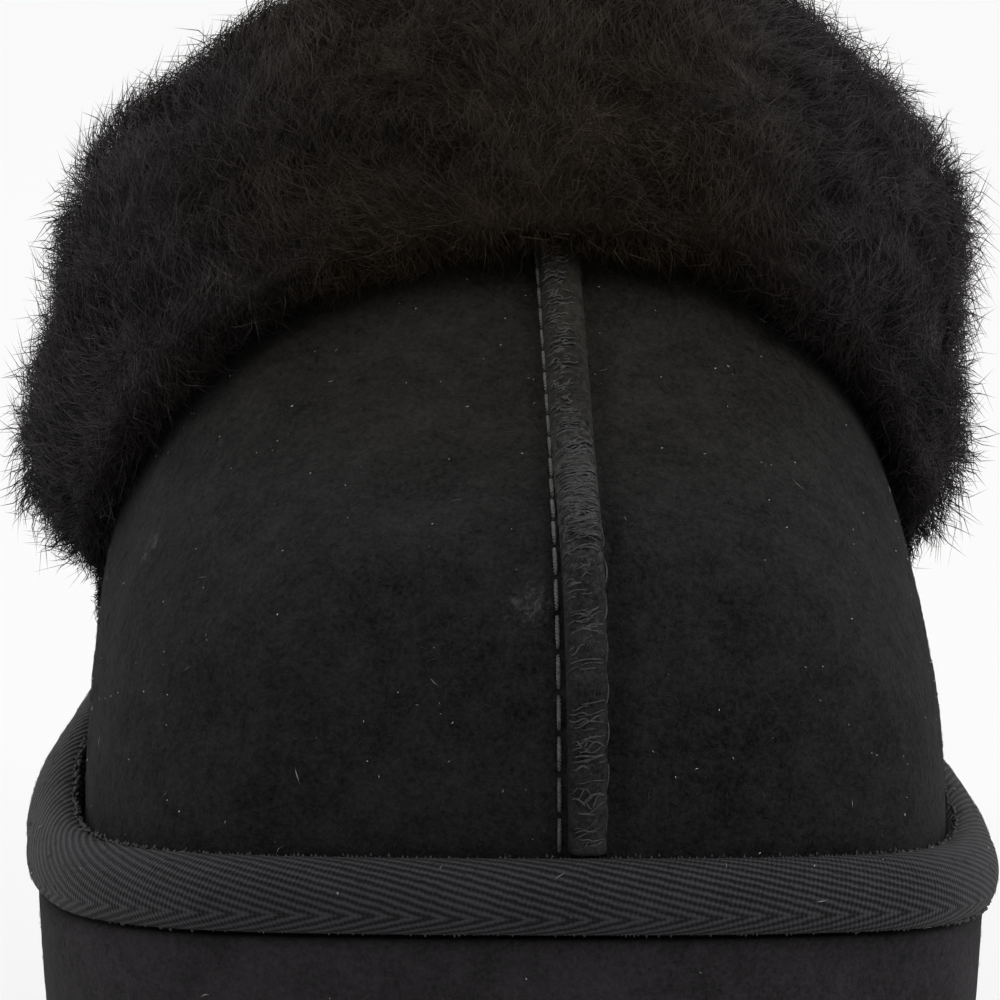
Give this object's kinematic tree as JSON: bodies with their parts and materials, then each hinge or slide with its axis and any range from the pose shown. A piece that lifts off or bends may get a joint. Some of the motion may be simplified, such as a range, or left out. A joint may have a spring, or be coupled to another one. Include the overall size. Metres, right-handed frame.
{
  "type": "scuff slipper",
  "caption": "Open-backed slipper with a deep sheepskin collar, a suede vamp with a raised centre seam, a twill-bound edge and a suede-covered platform sole.",
  "frame": {"origin": "under the middle of the bounding box, on the plane of the tread", "axes": "toe towards -Y, heel towards +Y, medial (big toe) side towards +X, up +Z"},
  "size_m": [0.1098, 0.262, 0.134],
  "materials": {
    "rubber": "matte",
    "platform suede": "matte",
    "sheepskin wool": "matte",
    "twill tape": "matte",
    "suede": "matte",
    "thread": "matte"
  },
  "bodies": {
    "root": {"outsole": "rubber", "platform": "platform suede", "insole": "sheepskin wool", "binding": "twill tape", "upper": "suede", "centre_seam": "thread", "collar": "sheepskin wool"}
  },
  "joints": []
}
